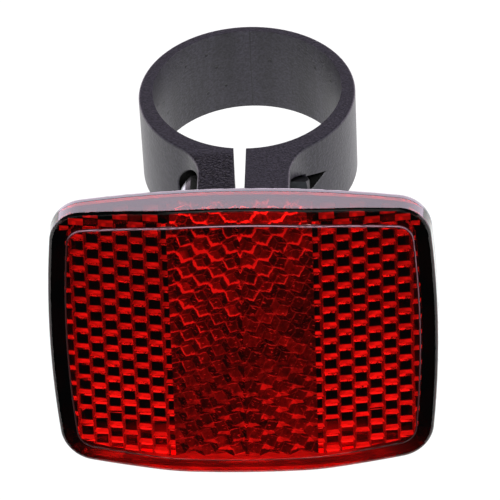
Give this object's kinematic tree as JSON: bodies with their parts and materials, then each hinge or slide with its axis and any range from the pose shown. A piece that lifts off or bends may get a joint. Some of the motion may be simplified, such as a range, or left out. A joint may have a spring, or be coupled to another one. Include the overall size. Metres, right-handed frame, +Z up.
{
  "type": "bicycle rear reflector",
  "caption": "Rectangular red prism reflector on a black plastic back plate, with a split ring clamp that a cross screw and captive nut tighten round a seat post.",
  "frame": {"origin": "middle of the clamp bore, on its axis at half its height", "axes": "+Z up along the seat post axis, -Y towards the reflector (the rear of the bicycle), +X to the right when the reflector is looked at from in front of it"},
  "size_m": [0.0568, 0.0648, 0.0437],
  "materials": {
    "lens_red": "clear red moulded acrylic, glossy, with prisms inside",
    "housing_black": "black moulded plastic with a fine grain",
    "fastener_zinc": "bright zinc plated steel"
  },
  "bodies": {
    "housing": {"lens": "lens_red", "clamp_housing": "housing_black"},
    "screw": {"clamp_screw": "fastener_zinc"},
    "nut": {"clamp_nut": "fastener_zinc"}
  },
  "joints": [
    {"name": "screw_turn", "type": "hinge", "parent": "housing", "child": "screw", "pos_m": [0, -0.019, 0], "axis": [-1, 0, 0], "range_deg": [0, 1080]},
    {"name": "nut_travel", "type": "slide", "parent": "housing", "child": "nut", "axis": [1, 0, 0], "range_m": [0, 0.0024]}
  ],
  "couplings": [
    {"joint": "screw_turn", "follows": "nut_travel", "rad_per_m": 7854}
  ]
}
